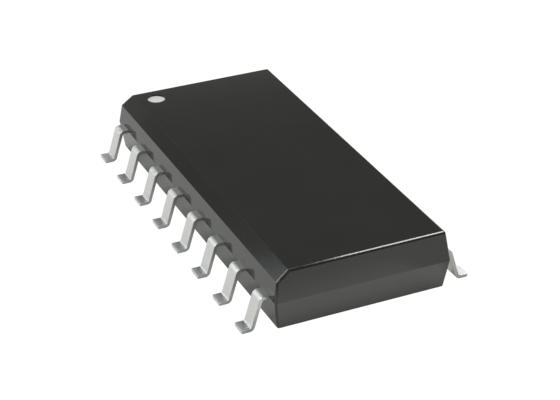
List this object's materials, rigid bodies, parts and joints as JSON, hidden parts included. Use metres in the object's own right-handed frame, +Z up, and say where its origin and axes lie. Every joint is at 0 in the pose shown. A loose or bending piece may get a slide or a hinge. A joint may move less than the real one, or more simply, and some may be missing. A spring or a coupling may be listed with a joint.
{
  "type": "analog-to-digital converter chip",
  "caption": "Small-outline chip package: black drafted moulded body with one bevelled long edge and a corner mark, and gull-wing leads along both long sides.",
  "frame": {"origin": "middle of the footprint, on the seating plane under the solder feet", "axes": "+X across the body towards leads 9 to 16, +Y along the body towards leads 1 and 16, +Z up out of the top face"},
  "size_m": [0.0058, 0.01, 0.0015],
  "materials": {
    "mould_compound": "semi-gloss black mould compound with a fine spark-eroded grain",
    "white_ink": "flat light grey ink",
    "tinned_lead": "satin tin plating with faint lengthwise streaks",
    "copper_alloy": "bare copper alloy strip",
    "silver_adhesive": "silver-filled adhesive",
    "silicon": "polished silicon",
    "gold_wire": "drawn gold wire"
  },
  "bodies": {
    "root": {"mould_body": "mould_compound", "pin_1_mark": "white_ink", "lead_01": "tinned_lead", "lead_02": "tinned_lead", "lead_03": "tinned_lead", "lead_04": "tinned_lead", "lead_05": "tinned_lead", "lead_06": "tinned_lead", "lead_07": "tinned_lead", "lead_08": "tinned_lead", "lead_09": "tinned_lead", "lead_10": "tinned_lead", "lead_11": "tinned_lead", "lead_12": "tinned_lead", "lead_13": "tinned_lead", "lead_14": "tinned_lead", "lead_15": "tinned_lead", "lead_16": "tinned_lead", "die_paddle": "copper_alloy", "die_attach": "silver_adhesive", "silicon_die": "silicon", "bond_wire_01": "gold_wire", "bond_wire_02": "gold_wire", "bond_wire_03": "gold_wire", "bond_wire_04": "gold_wire", "bond_wire_05": "gold_wire", "bond_wire_06": "gold_wire", "bond_wire_07": "gold_wire", "bond_wire_08": "gold_wire", "bond_wire_09": "gold_wire", "bond_wire_10": "gold_wire", "bond_wire_11": "gold_wire", "bond_wire_12": "gold_wire", "bond_wire_13": "gold_wire", "bond_wire_14": "gold_wire", "bond_wire_15": "gold_wire", "bond_wire_16": "gold_wire"}
  },
  "joints": []
}
